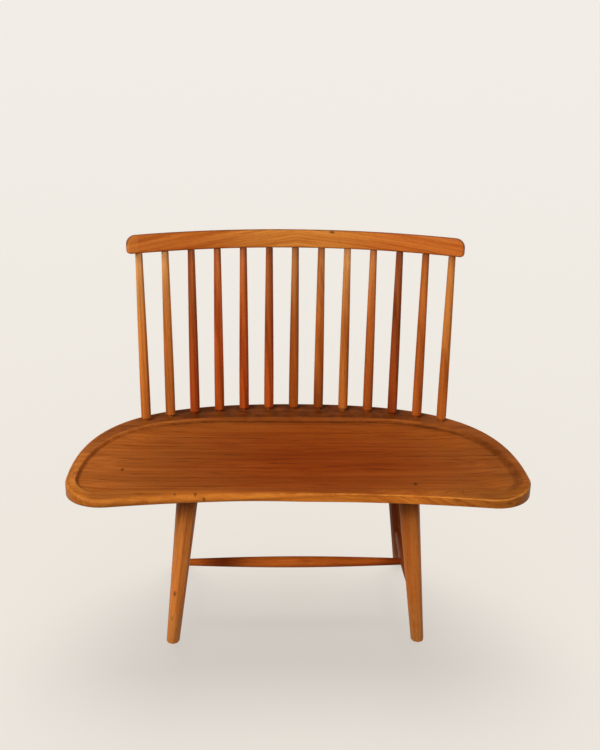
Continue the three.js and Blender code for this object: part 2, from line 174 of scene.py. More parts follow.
def hang_lamp(name, level, from_left, height, spread, tone):
    """A broad far lamp: its degrees round from the front to the left, above
    the floor, and across."""
    lamp = bpy.data.lights.new(name, "SUN")
    lamp.energy = level
    lamp.angle = math.radians(spread)
    lamp.color = tone
    holder = bpy.data.objects.new(name, lamp)
    bpy.context.scene.collection.objects.link(holder)
    holder.matrix_world = turned(-from_left, "Z") @ turned(90 - height, "X")
    return holder


def reach_of(name, floor, state):
    """A light's reach: the floor alone, or everything but the floor."""
    reach = bpy.data.collections.new(name)
    reach.objects.link(floor)
    reach.collection_objects[0].light_linking.link_state = state
    return reach


def stand_camera():
    """The photograph's view, worked out from the bench's measured points."""
    lens = bpy.data.cameras.new("photo_camera")
    lens.sensor_fit = "VERTICAL"
    lens.sensor_height = LENS_FRAME_HEIGHT
    lens.lens = LENS
    holder = bpy.data.objects.new("photo_camera", lens)
    bpy.context.scene.collection.objects.link(holder)
    aim = turned(CAMERA_TURN, "Z") @ turned(90 - CAMERA_DIP, "X") @ turned(CAMERA_ROLL, "Z")
    holder.matrix_world = Matrix.Translation(CAMERA_PLACE) @ aim
    bpy.context.scene.camera = holder


bpy.context.scene.view_settings.view_transform = "Standard"
floor = lay_floor()
light_room()
window_light = hang_lamp("window_light", WINDOW_LEVEL, from_left=42.0, height=40.0, spread=34.0,
                         tone=(1.0, 0.975, 0.94))
side_light = hang_lamp("side_light", SIDE_LEVEL, from_left=-62.0, height=34.0, spread=50.0,
                       tone=(1.0, 0.98, 0.95))
for lamp in (window_light, side_light):
    lamp.light_linking.receiver_collection = reach_of(lamp.name + "_reach", floor, "EXCLUDE")
shade_light = hang_lamp("shade_light", SHADE_LEVEL, from_left=180.0, height=63.0, spread=52.0,
                        tone=(1.0, 0.975, 0.945))
shade_light.light_linking.receiver_collection = reach_of("shade_light_reach", floor, "INCLUDE")
stand_camera()


# ------------------------------------------------
# Seat: a wide plank glued up from narrow staves of red-brown hardwood. A dish
# is carved down inside a raised deck for the spindles and runs out over the
# hollow front edge; the edges are rounded by hand and the whole is oiled.

SEAT_TOP = 0.440
SEAT_UNDER = 0.398
SEAT_HALF_WIDTH = 0.521
SEAT_DEPTH = 0.474
SEAT_FRONT_Y = -0.255915
FRONT_HOLLOW = 0.033
CORNER_RADIUS = 0.085
SIDE_FULLNESS = 0.69
BACK_FULLNESS = 0.74
DECK_AT_BACK = 0.092
DECK_AT_ENDS = 0.021
FRONT_ROLL = 0.030
FRONT_DROP = 0.011
DISH_DEPTH = 0.013
STEP_DEPTH = 0.006
STEP_RUN_AT_ENDS = 0.0060
STEP_RUN_AT_BACK = 0.0095
STEP_RUN_AT_RIGHT = 0.0115
STEP_RUN_BLURRED = 0.013
STEP_RUN_AT_FRONT = 0.010
UNDER_BEVEL_RISE = 0.010
UNDER_BEVEL_INSET = 0.038
UNDER_ARRIS = 0.0015
UNDER_ARRIS_RUBBED = 0.0100
TOP_ARRIS = 0.0035
TOP_ARRIS_SOFT = 0.0095
LEAST_SOFTNESS = 0.4
PLAN_POINTS = 110
FINE_STEPS = 240

CORNER_X = SEAT_HALF_WIDTH - CORNER_RADIUS
HOLLOW_RADIUS = (CORNER_X ** 2 + FRONT_HOLLOW ** 2) / (2 * FRONT_HOLLOW)
CORNER_Y = math.sqrt((HOLLOW_RADIUS + CORNER_RADIUS) ** 2 - CORNER_X ** 2) - HOLLOW_RADIUS


def eased(share):
    """A smooth rise from 0 to 1."""
    share = min(max(share, 0.0), 1.0)
    return share * share * (3 - 2 * share)


def blended(low, high, share):
    return low + (high - low) * share


def seat_half_outline():
    """Close points on half the plan, from the middle of the front to the middle
    of the back, each with the part of the outline it lies on."""
    meeting = math.atan2(CORNER_Y + HOLLOW_RADIUS, CORNER_X)
    points = []
    for step in range(FINE_STEPS + 1):
        angle = blended(math.pi / 2, meeting, step / FINE_STEPS)
        points.append((Vector((HOLLOW_RADIUS * math.cos(angle),
                               HOLLOW_RADIUS * (math.sin(angle) - 1))), 0))
    for step in range(1, FINE_STEPS + 1):
        angle = blended(meeting + math.pi, 2 * math.pi, step / FINE_STEPS)
        points.append((Vector((CORNER_X + CORNER_RADIUS * math.cos(angle),
                               CORNER_Y + CORNER_RADIUS * math.sin(angle))), 1))
    a = Vector((SEAT_HALF_WIDTH, CORNER_Y))
    b = Vector((SEAT_HALF_WIDTH, CORNER_Y + SIDE_FULLNESS * (SEAT_DEPTH - CORNER_Y)))
    c = Vector((BACK_FULLNESS * SEAT_HALF_WIDTH, SEAT_DEPTH))
    d = Vector((0.0, SEAT_DEPTH))
    for step in range(1, 2 * FINE_STEPS + 1):
        t = step / (2 * FINE_STEPS)
        s = 1 - t
        points.append((a * s ** 3 + b * 3 * s * s * t + c * 3 * s * t * t + d * t ** 3, 2))
    return points


Station = namedtuple("Station", "point inward opening back softness")


def seat_stations():
    """Even stations round the whole plan: the place and the way inward, how far
    the dish runs out over the edge there (1 along the front, 0 where the rim
    stands), how far round the back it is, and how softly its edge is rounded."""
    fine = seat_half_outline()
    run = [0.0]
    for (p, _), (q, _) in zip(fine, fine[1:]):
        run.append(run[-1] + (q - p).length)
    total = run[-1]
    corner_start = next(r for r, (_, part) in zip(run, fine) if part == 1) / total
    corner_end = next(r for r, (_, part) in zip(run, fine) if part == 2) / total
    half = []
    spot = 0
    for step in range(PLAN_POINTS + 1):
        target = total * step / PLAN_POINTS
        while spot < len(run) - 2 and run[spot + 1] < target:
            spot += 1
        share = (target - run[spot]) / (run[spot + 1] - run[spot])
        half.append((fine[spot][0].lerp(fine[spot + 1][0], share), step / PLAN_POINTS))
    loop = half + [(Vector((-p.x, p.y)), s) for p, s in reversed(half[1:-1])]
    stations = []
    for i, (point, share) in enumerate(loop):
        along = (loop[(i + 1) % len(loop)][0] - loop[i - 1][0]).normalized()
        opening = 1 - eased((share - corner_start) / (corner_end - corner_start))
        back = min(max((share - corner_end) / (1 - corner_end), 0.0), 1.0)
        softness = blended(LEAST_SOFTNESS, 1 - eased((point.x + 0.16) / 0.30), opening)
        stations.append(Station(point, Vector((-along.y, along.x)), opening, back, softness))
    return stations


def seat_rings(stations):
    """Rings of places from the underside, round the edge and down into the dish,
    each place with its share of wear, which is partly painted highlight and painted
    light, and of dirt, which is mostly painted shade."""
    rings = []

    def ring(inset, height, wear=lambda s: 0.0, dirt=lambda s: 0.0):
        places = []
        for s in stations:
            spot = s.point + s.inward * inset(s)
            places.append(Vector((spot.x, spot.y + SEAT_FRONT_Y, height(s))))
        rings.append((places, [wear(s) for s in stations], [dirt(s) for s in stations]))

    face_bottom = SEAT_UNDER + UNDER_BEVEL_RISE
    ring(lambda s: UNDER_BEVEL_INSET + 0.017, lambda s: SEAT_UNDER)
    ring(lambda s: UNDER_BEVEL_INSET + 0.003, lambda s: SEAT_UNDER)
    ring(lambda s: UNDER_BEVEL_INSET, lambda s: SEAT_UNDER + 0.0006, lambda s: 0.3)

    def low_round(s):
        """The lower arris, only eased but for the rubbed left half of the front."""
        rubbed_share = max(0.0, s.softness - LEAST_SOFTNESS) / (1 - LEAST_SOFTNESS)
        return blended(UNDER_ARRIS, UNDER_ARRIS_RUBBED, rubbed_share)

    ring(lambda s: low_round(s) + 0.004, lambda s: face_bottom - 0.001, lambda s: 0.2)
    for step in range(5):
        angle = step / 4 * math.pi / 2
        ring(lambda s, a=angle: low_round(s) * (1 - math.sin(a)),
             lambda s, a=angle: face_bottom + low_round(s) * (1 - math.cos(a)),
             lambda s, a=angle: 0.7 * math.sin(2 * a) ** 2 * (1.4 - s.softness))

    def edge_round(s):
        return blended(TOP_ARRIS, TOP_ARRIS_SOFT, s.softness)

    def edge_top(s):
        """The rim's height, lower where the dish runs out."""
        return SEAT_TOP - FRONT_DROP * s.opening

    # the top edge's rounds: their wear mark is worn wood and a painted highlight along the arris
    rounds = 9
    for step in range(rounds + 1):
        angle = (step / rounds) * (math.pi / 2)
        inward, down, worn = 1 - math.cos(angle), 1 - math.sin(angle), math.sin(2 * angle) ** 2
        ring(lambda s, i=inward: i * edge_round(s) * 1.2,
             lambda s, d=down: edge_top(s) - d * edge_round(s),
             lambda s, w=worn: w * blended(1.0, 0.6, s.softness))

    def blurred(s):
        """How far the step melts into a plain slope, as it does at the right end."""
        return eased((s.point.x - 0.43) / 0.06) * (1 - s.opening)

    def deck_width(s):
        """How far in from the edge the step starts."""
        full = blended(blended(DECK_AT_ENDS, FRONT_ROLL, s.opening), DECK_AT_BACK, eased(s.back))
        return full - 0.006 * blurred(s)

    def step_run(s):
        """How far the step runs in as it falls."""
        broad = eased((s.point.x - 0.15) / 0.25)
        plain = blended(STEP_RUN_AT_ENDS, STEP_RUN_AT_BACK, eased(s.back * 1.6))
        plain = blended(plain, STEP_RUN_AT_RIGHT, broad)
        return plain + STEP_RUN_BLURRED * blurred(s) + STEP_RUN_AT_FRONT * s.opening

    def step_top(s):
        return SEAT_TOP - 0.0125 * s.opening

    def step_foot(s):
        return SEAT_TOP - blended(STEP_DEPTH + 0.0008, DISH_DEPTH, s.opening)

    def painted_light_left_rim(s):
        """Painted light: the pale rim round the left end."""
        left = eased((-0.36 - s.point.x) / 0.12) * (1 - eased(s.back / 0.34))
        return 0.9 * left * (1 - s.opening)

    def dust_and_painted_shade(s):
        """Dust and painted shade behind the spindles, thinner round to the left end."""
        left = 0.55 * eased((s.back - 0.14) / 0.16) if s.point.x < 0 else 0.0
        return max(0.92 * eased((s.back - 0.42) / 0.25), left)

    def rubbed(s):
        """The step's arris is paler to both sides, worn wood and a painted highlight, and stays
        dull in the middle.
        """
        return blended(0.06, 0.26, eased((abs(s.point.x) - 0.14) / 0.10)) * (1 - s.opening) ** 3

    def pooled_shade(s):
        """Painted shade that lies out from the step along the back, most of it to the right."""
        middle = blended(0.60, 0.35, eased((abs(s.point.x) - 0.12) / 0.10))
        return eased((s.back - 0.30) / 0.20) * (middle + 0.5 * eased((s.point.x - 0.30) / 0.06))

    def step_foot_shade(s):
        """Painted shade at the step's foot, less of it at the left end."""
        return blended(1.0, 0.50, eased((-0.30 - s.point.x) / 0.10)) * (1 - s.opening) ** 5

    def step_arris_shade(s):
        """Painted shade on the step's arris in the middle of the back and to the right."""
        right = 0.8 * eased((s.point.x - 0.30) / 0.05)
        return 0.45 * max(eased((0.30 - abs(s.point.x)) / 0.12), right) * (1 - s.opening) ** 5

    # the deck: its wear mark is painted light on the left rim; its dirt mark is dust and painted
    # shade, and on the last ring painted shade on the step's arris
    for share in (0.04, 0.35, 0.7, 0.92, 0.98):
        ring(lambda s, p=share: blended(edge_round(s) * 1.2, deck_width(s), p),
             lambda s, p=share: blended(edge_top(s), step_top(s), p), painted_light_left_rim,
             lambda s, p=share: dust_and_painted_shade(s) if p < 0.95 else step_arris_shade(s))
    steps = 10
    for step in range(steps + 1):
        share = step / steps
        fall = eased(share)
        # the step's upper arris is paler: worn wood and a painted highlight
        worn = max(0.0, 1 - abs(share - 0.15) / 0.25)
        # painted shade at the step's foot; where the step melts at the right end, painted shade
        # over the whole slope
        settled = min(1.0, 1.25 * max(0.0, 1 - abs(share - 1.0) / 0.75))
        hollow = 0.75 * math.sin(math.pi * share) ** 0.6
        ring(lambda s, p=share: deck_width(s) + p * step_run(s),
             lambda s, f=fall: blended(step_top(s), step_foot(s), f),
             lambda s, w=worn: w * rubbed(s) * (1 - blurred(s)),
             lambda s, d=settled, h=hollow: blended(
                 max(d * step_foot_shade(s), step_arris_shade(s)), h, blurred(s)))
    foot, _, gutter_shade = rings[-1]
    pools = [pooled_shade(s) for s in stations]
    spine_y = SEAT_FRONT_Y + SEAT_DEPTH / 2
    floor = SEAT_TOP - DISH_DEPTH
    slopes = [0.006, 0.012, 0.022, 0.036, 0.06] + [0.62 * step / 12 for step in range(2, 13)]
    for share in slopes:
        fall = eased(share / 0.58)
        heaped = math.sin(min(share / 0.035, 1.0) * math.pi / 2)
        lift = 0.0008 * heaped * (1 - eased(share / 0.2))
        places = []
        for place, mark in zip(foot, gutter_shade):
            spine_x = min(max(place.x, -0.28), 0.28)
            places.append(Vector((blended(place.x, spine_x, share),
                                  blended(place.y, spine_y, share),
                                  blended(place.z, floor, fall) + lift * mark)))
        # painted shade runs a little way into the dish from the step's foot, and further out
        # along the back
        line = max(0.0, 1 - share / 0.026)
        wash = 1 - eased((share - 0.03) / 0.12)
        rings.append((places, [0.0] * len(foot),
                      [mark * max(line, pool * wash) for mark, pool in zip(gutter_shade, pools)]))
    return rings


def skinned(rings, name, grain_of):
    """Extrudes one ring into the next and closes both ends. Each point keeps
    its place in the timber, its wear mark, which is partly painted highlight, and its
    dirt mark, which is mostly painted shade."""
    shape = bmesh.new()
    timber = shape.verts.layers.float_vector.new("timber")
    wear_layer = shape.verts.layers.float.new("wear")
    dirt_layer = shape.verts.layers.float.new("dirt")

    def dress(corners, places, wear, dirt):
        for i, corner in enumerate(corners):
            corner.co = places[i]
            corner[timber] = grain_of(places[i])
            corner[wear_layer] = wear[i]
            corner[dirt_layer] = dirt[i]

    places, wear, dirt = rings[0]
    corners = [shape.verts.new(place) for place in places]
    edges = [shape.edges.new((corners[i - 1], corners[i])) for i in range(len(corners))]
    dress(corners, places, wear, dirt)
    shape.faces.new(reversed(corners))
    for places, wear, dirt in rings[1:]:
        grown = bmesh.ops.extrude_edge_only(shape, edges=edges)["geom"]
        fresh = [part for part in grown if isinstance(part, bmesh.types.BMVert)]
        edges = [part for part in grown if isinstance(part, bmesh.types.BMEdge)
                 and all(v in fresh for v in part.verts)]
        corners = [next(edge.other_vert(corner) for edge in corner.link_edges
                        if edge.other_vert(corner) in fresh) for corner in corners]
        dress(corners, places, wear, dirt)
    shape.faces.new(corners)
    bmesh.ops.recalc_face_normals(shape, faces=shape.faces)
    return finished(shape, name)


def finished(shape, name):
    """Makes the modelled piece an object that rides with the bench."""
    for face in shape.faces:
        face.smooth = True
    mesh = bpy.data.meshes.new(name)
    shape.to_mesh(mesh)
    shape.free()
    piece = bpy.data.objects.new(name, mesh)
    bpy.context.scene.collection.objects.link(piece)
    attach(piece, "root")
    return piece


def new_group(name, takes, gives):
    """An empty node group with its named sockets."""
    group = bpy.data.node_groups.new(name, "ShaderNodeTree")
    for label, kind, start in takes:
        socket = group.interface.new_socket(label, in_out="INPUT", socket_type=kind)
        if start is not None:
            socket.default_value = start
    for label, kind in gives:
        group.interface.new_socket(label, in_out="OUTPUT", socket_type=kind)
    given = group.nodes.new("NodeGroupInput").outputs
    asked = group.nodes.new("NodeGroupOutput").inputs
    return group, given, asked


VECTOR, COLOUR, NUMBER = "NodeSocketVector", "NodeSocketColor", "NodeSocketFloat"


def noise(tree, place, scale, detail, roughness=0.5):
    """Soft uneven marks."""
    return node(tree, "TexNoise", Vector=place, Scale=scale, Detail=detail,
                Roughness=roughness).outputs[0]


def make_timber_group():
    """Straight-grained hardwood: growth layers round a pith beside the board,
    slow streaks along it, fine fibres, and short dark pores."""
    tree, given, asked = new_group(
        "sawn_timber",
        [("Place", VECTOR, None), ("Pale wood", COLOUR, (0.5, 0.2, 0.05, 1)),
         ("Deep wood", COLOUR, (0.25, 0.07, 0.015, 1)),
         ("Pore", COLOUR, (0.06, 0.015, 0.004, 1)), ("Layer spacing", NUMBER, 0.004),
         ("Wander", NUMBER, 0.006), ("Contrast", NUMBER, 1.0), ("Streaks", NUMBER, 0.15)],
        [("Colour", COLOUR), ("Roughness", NUMBER), ("Height", NUMBER)])

    def figure(along, across, detail, roughness=0.5):
        """Marks that are drawn out along the grain."""
        place = vectors(tree, "MULTIPLY", given["Place"], (along, across, across))
        return noise(tree, place, 1.0, detail, roughness)

    swing = maths(tree, "SUBTRACT", figure(2.2, 11.0, 3.0), 0.5)
    from_pith = vectors(tree, "MULTIPLY", given["Place"], (0.02, 1.0, 1.0))
    wander = maths(tree, "MULTIPLY", swing, given["Wander"])
    radius = maths(tree, "ADD", vectors(tree, "LENGTH", from_pith), wander)
    layer = maths(tree, "DIVIDE", radius, given["Layer spacing"])
    bands = node(tree, "TexNoise", {"noise_dimensions": "1D"}, W=layer, Scale=1.0, Detail=2.0,
                 Roughness=0.6).outputs[0]
    bands = smooth(tree, bands, 0.34, 0.66)
    streaks = smooth(tree, figure(3.2, 75.0, 4.0, 0.62), 0.36, 0.68)
    fibres = figure(26.0, 950.0, 2.0)
    pores = figure(70.0, 1500.0, 1.0)
    pore = node(tree, "MapRange", Value=pores, From_Min=0.62, From_Max=0.74).outputs[0]
    share = node(tree, "Mix", {"data_type": "FLOAT"}, n0=0.45, n2=streaks, n3=bands).outputs[0]
    share = maths(tree, "ADD", share, maths(tree, "MULTIPLY_ADD", fibres, 0.36, -0.18))
    share = maths(tree, "MULTIPLY", share, given["Contrast"], clamp=True)
    wood = mixed_colour(tree, share, given["Pale wood"], given["Deep wood"])
    wood = mixed_colour(tree, maths(tree, "MULTIPLY", pore, 0.55), wood, given["Pore"])
    mark = smooth(tree, figure(11.0, 190.0, 2.0), 0.58, 0.72)
    mark = maths(tree, "MULTIPLY", mark, given["Streaks"])
    tree.links.new(mixed_colour(tree, mark, wood, given["Pore"]), asked["Colour"])
    rough = maths(tree, "MULTIPLY_ADD", share, -0.07, 0.40)
    tree.links.new(maths(tree, "MULTIPLY_ADD", pore, 0.12, rough), asked["Roughness"])
    tree.links.new(maths(tree, "MULTIPLY_ADD", pore, -0.7, fibres), asked["Height"])
    return tree


def make_wear_and_shade_group():
    """Lightens the wood where the wear mark is, worn wood and painted highlight, and
    darkens it where the dirt mark is, dirt and painted shade.
    """
    tree, given, asked = new_group(
        "wear_dirt_and_painted_light",
        [("Colour", COLOUR, None), ("Place", VECTOR, None), ("Wear", NUMBER, 0.0),
         ("Dirt", NUMBER, 0.0), ("Rubbed wood", COLOUR, (0.6, 0.3, 0.1, 1)),
         ("Settled dirt", COLOUR, (0.05, 0.015, 0.005, 1))],
        [("Colour", COLOUR), ("Roughness shift", NUMBER)])
    patch = noise(tree, given["Place"], 38.0, 4.0, 0.6)
    patch = node(tree, "MapRange", Value=patch, From_Min=0.3, From_Max=0.65).outputs[0]
    rubbed = maths(tree, "MULTIPLY", given["Wear"], patch)
    rubbed = maths(tree, "MULTIPLY", rubbed, 0.7, clamp=True)
    lighter = mixed_colour(tree, rubbed, given["Colour"], given["Rubbed wood"])
    settled = node(tree, "MapRange", Value=patch, To_Min=0.45, To_Max=0.85).outputs[0]
    settled = maths(tree, "MULTIPLY", given["Dirt"], settled, clamp=True)
    darker = mixed_colour(tree, settled, lighter, given["Settled dirt"])
    tree.links.new(darker, asked["Colour"])
    tree.links.new(maths(tree, "MULTIPLY", settled, 0.18), asked["Roughness shift"])
    return tree


GRAIN_RELIEF = 0.0004
timber_group = make_timber_group()
wear_and_shade_group = make_wear_and_shade_group()


def timber_nodes(tree, place, pale, deep, spacing, wander, contrast=1.0, streaks=0.15):
    """Sawn timber with the piece's own colours and figure."""
    return node(tree, "Group", {"node_tree": timber_group}, Place=place, Pale_wood=pale,
                Deep_wood=deep, Layer_spacing=spacing, Wander=wander, Contrast=contrast,
                Streaks=streaks).outputs


def mark_on(tree, name):
    """A mark that each point of the piece carries."""
    return node(tree, "Attribute", {"attribute_name": name}).outputs


def oiled(tree, timber, colour, place, rubbed, settled):
    """The timber with its wear and dust, whose marks also carry painted highlight and
    painted shade, under its satin oil finish.
    """
    worn_and_shaded = node(tree, "Group", {"node_tree": wear_and_shade_group}, Colour=colour, Place=place,
                   Wear=mark_on(tree, "wear")["Fac"], Dirt=mark_on(tree, "dirt")["Fac"],
                   Rubbed_wood=rubbed, Settled_dirt=settled).outputs
    roughness = maths(tree, "ADD", timber["Roughness"], worn_and_shaded["Roughness shift"])
    relief = node(tree, "Bump", Strength=0.35, Distance=GRAIN_RELIEF, Height=timber["Height"])
    finish = node(tree, "BsdfPrincipled", Base_Color=worn_and_shaded["Colour"], Roughness=roughness,
                  Normal=relief.outputs[0], Specular_IOR_Level=0.04, Coat_Weight=0.045,
                  Coat_Roughness=0.17)
    node(tree, "OutputMaterial", Surface=finish.outputs[0])


KNOT_DARK = (0.05, 0.012, 0.003, 1)
DRAWN_OUT = (0.55, 1.0, 1.0)


def make_knot_group():
    """One pin knot: a small dark eye, squeezed less along the grain."""
    tree, given, asked = new_group(
        "pin_knot",
        [("Place", VECTOR, None), ("Centre", VECTOR, None), ("Size", NUMBER, 0.003),
         ("Squeeze", VECTOR, DRAWN_OUT)],
        [("Mask", NUMBER)])
    away = vectors(tree, "SUBTRACT", given["Place"], given["Centre"])
    reach = vectors(tree, "LENGTH", vectors(tree, "MULTIPLY", away, given["Squeeze"]))
    tree.links.new(smooth(tree, reach, 0.0, given["Size"], 0.85, 0.0), asked["Mask"])
    return tree


knot_group = make_knot_group()


def knotted(tree, colour, place, knots, dark=KNOT_DARK):
    """Darkens the wood at its few knots, each a centre, a size and a squeeze."""
    for centre, size, squeeze in knots:
        knot = node(tree, "Group", {"node_tree": knot_group}, Place=place, Centre=centre,
                    Size=size, Squeeze=squeeze)
        colour = mixed_colour(tree, knot.outputs["Mask"], colour, dark)
    return colour


STAVE_WIDTH = 0.038
FIRST_JOINT_Y = -0.237
BOARD_JUMP = (2.0, 0.12, 0.05)
FROM_PITH = (0.0, 0.03, -0.36)
END_PALE = (0.400, 0.116, 0.0185, 1)
END_DEEP = (0.262, 0.064, 0.0075, 1)
# the colours of the painted shade over the middle of the seat
SHADED_MIDDLE_PALE = (0.308, 0.055, 0.0040, 1)
SHADED_MIDDLE_DEEP = (0.200, 0.0265, 0.0012, 1)
FRONT_STAVE_PALE = (0.685, 0.215, 0.026, 1)
FRONT_STAVE_DEEP = (0.465, 0.116, 0.012, 1)
# the pale colour of the seat's wear mark, which is also its painted highlight and painted light
SEAT_WEAR_AND_HIGHLIGHT = (0.80, 0.295, 0.050, 1)
# the dark colour of the seat's dirt mark, which is mostly painted shade
SEAT_SHADE_AND_DUST = (0.055, 0.010, 0.0015, 1)
SHADED_MIDDLE_X, SHADED_MIDDLE_Y = 0.04, -0.085
SHADED_MIDDLE_HALF_WIDTH, SHADED_MIDDLE_HALF_DEPTH = 0.44, 0.30
ROUND_EYE = (1.0, 0.5, 0.5)
SHORT_CHECK = (1.0, 0.085, 0.085)
SEAT_KNOTS = (((-0.4025, -0.1372, 0.427), 0.0060, ROUND_EYE),
              ((-0.277, -0.2575, 0.4285), 0.0040, ROUND_EYE),
              ((-0.232, -0.2575, 0.4285), 0.0055, ROUND_EYE),
              ((-0.213, -0.2637, 0.4193), 0.0045, ROUND_EYE),
              ((0.260, -0.2065, 0.427), 0.0065, ROUND_EYE),
              ((0.361, -0.247, 0.4275), 0.0014, SHORT_CHECK))


def seat_wood():
    """Staves side by side, each from its own board, paler at the ends and along the front;
    the darker, redder middle is painted shade and the paler left end painted light."""
    material = fresh_material("seat_wood")
    tree = material.node_tree
    place = node(tree, "TexCoord").outputs["Object"]
    axes = node(tree, "SeparateXYZ", Vector=place).outputs

    # each stave's own board, the front one's figure swirling to the right
    from_joint = maths(tree, "ADD", axes["Y"], -FIRST_JOINT_Y)
    stave = maths(tree, "FLOOR", maths(tree, "DIVIDE", from_joint, STAVE_WIDTH))
    chance = node(tree, "TexWhiteNoise", {"noise_dimensions": "1D"}, W=stave).outputs
    cut = vectors(tree, "ADD", place, vectors(tree, "MULTIPLY", chance["Color"], BOARD_JUMP))
    swirl = smooth(tree, axes["X"], 0.14, 0.42, 0.0, 0.09)
    swirl = maths(tree, "MULTIPLY", swirl, maths(tree, "LESS_THAN", stave, -0.5))
    cut = vectors(tree, "ADD", cut, node(tree, "CombineXYZ", Z=swirl).outputs[0])
    cut = vectors(tree, "ADD", cut, FROM_PITH)

    # painted shade: a darker, redder patch over the middle; and the pale front stave
    from_shaded_middle = vectors(tree, "MULTIPLY_ADD", place,
                          (1 / SHADED_MIDDLE_HALF_WIDTH, 1 / SHADED_MIDDLE_HALF_DEPTH, 0.0),
                          (-SHADED_MIDDLE_X / SHADED_MIDDLE_HALF_WIDTH, -SHADED_MIDDLE_Y / SHADED_MIDDLE_HALF_DEPTH, 0.0))
    reach = vectors(tree, "LENGTH", from_shaded_middle)
    reach = maths(tree, "MULTIPLY_ADD", noise(tree, place, 7.0, 2.0), 0.35, reach)
    shaded_middle = smooth(tree, reach, 0.25, 1.45, 1.0, 0.0)
    shaded_middle = maths(tree, "MULTIPLY", shaded_middle, smooth(tree, axes["Z"], 0.4215, 0.4275))
    front = smooth(tree, from_joint, 0.012, -0.012)
    pale, deep = (mixed_colour(tree, shaded_middle, mixed_colour(tree, front, end, first), darkened)
                  for end, first, darkened in ((END_PALE, FRONT_STAVE_PALE, SHADED_MIDDLE_PALE),
                                               (END_DEEP, FRONT_STAVE_DEEP, SHADED_MIDDLE_DEEP)))
    timber = timber_nodes(tree, cut, pale, deep, spacing=0.006, wander=0.012, streaks=0.5)

    # lighter and darker boards, painted light on a paler left end, painted shade on a slightly
    # darker right end, and duller front corners
    board = node(tree, "MapRange", Value=chance["Value"], To_Min=0.94, To_Max=1.06).outputs[0]
    tint = maths(tree, "MULTIPLY", board, smooth(tree, axes["X"], -0.29, -0.48, 1.0, 1.30))
    tint = maths(tree, "MULTIPLY", tint, smooth(tree, axes["X"], 0.30, 0.48, 1.06, 0.99))
    outward = smooth(tree, maths(tree, "ABSOLUTE", axes["X"]), 0.24, 0.44, 0.0, 0.40)
    forward = smooth(tree, axes["Y"], -0.221, -0.247)
    kept = maths(tree, "SUBTRACT", 1.0, maths(tree, "MULTIPLY", outward, forward))
    tint = maths(tree, "MULTIPLY", tint, kept)
    toned = vectors(tree, "SCALE", timber["Colour"], Scale=tint)
    oiled(tree, timber, knotted(tree, toned, place, SEAT_KNOTS), place, SEAT_WEAR_AND_HIGHLIGHT, SEAT_SHADE_AND_DUST)
    return material


seat = skinned(seat_rings(seat_stations()), "seat_plank", lambda place: place)
seat.data.materials.append(seat_wood())
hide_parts("seat")


# ------------------------------------------------
# Crest rail: one bent length of orange hardwood that leans back with the
# spindles. Its ends are sawn to a curve and every arris is rounded over; the
# spindles enter its underside in blind holes.

SPINDLES = 13
ROW_BACK_Y = 0.186085
ROW_TOP_BACK_Y = 0.269085
PITCH_AT_SEAT = 0.063
PITCH_AT_CREST = 0.065
BOW_AT_SEAT = 0.080
BOW_AT_CREST = 0.069
CREST_BOTTOM = 0.841
CREST_FACE = 0.0448
CREST_THICK = 0.0217
CREST_OVERHANG = 0.029
CREST_TOP_CORNER = 0.022
CREST_LOW_CORNER = 0.010
CREST_ROUND = 0.005
ARC_POINTS = 7


def row_place(number, pitch, bow, y, z):
    """A place on one of the row's two arcs, counted from the middle spindle."""
    half = pitch * (SPINDLES - 1) / 2
    radius = (half ** 2 + bow ** 2) / (2 * bow)
    angle = number * pitch / radius
    return Vector((radius * math.sin(angle), y - radius * (1 - math.cos(angle)), z))


def row_at_seat(number):
    """Where a spindle's axis meets the deck."""
    return row_place(number, PITCH_AT_SEAT, BOW_AT_SEAT, ROW_BACK_Y, SEAT_TOP)


def row_at_crest(number):
    """Where a spindle's axis meets the underside of the rail."""
    return row_place(number, PITCH_AT_CREST, BOW_AT_CREST, ROW_TOP_BACK_Y, CREST_BOTTOM)


def corner_cut(radius, from_end):
    """How much a rounded corner takes off at a distance from the end."""
    inside = max(radius - from_end, 0.0)
    return radius - math.sqrt(radius ** 2 - inside ** 2)


def crest_ring(from_middle, half_length):
    """One rounded cross-section of the rail, drawn in where its ends curve."""
    number = from_middle / PITCH_AT_CREST
    from_end = half_length - abs(from_middle)
    bottom = row_at_crest(number)
    up = (bottom - row_at_seat(number)).normalized()
    along = (row_at_crest(number + 0.5) - row_at_crest(number - 0.5)).normalized()
    back = up.cross(along).normalized()
    ease = corner_cut(CREST_ROUND, from_end)
    low = corner_cut(CREST_LOW_CORNER, from_end)
    high = CREST_FACE - corner_cut(CREST_TOP_CORNER, from_end)
    half = CREST_THICK / 2 - ease
    curve = CREST_ROUND - ease / 2
    places = []
    corners = ((half, low, 0), (half, high, 1), (-half, high, 2), (-half, low, 3))
    for across, height, quarter in corners:
        centre_across = across - math.copysign(curve, across)
        centre_height = height + (curve if quarter in (0, 3) else -curve)
        for step in range(ARC_POINTS):
            angle = (quarter - 1 + step / (ARC_POINTS - 1)) * math.pi / 2
            places.append(bottom + back * (centre_across + curve * math.cos(angle))
                          + up * (centre_height + curve * math.sin(angle)))
    return places


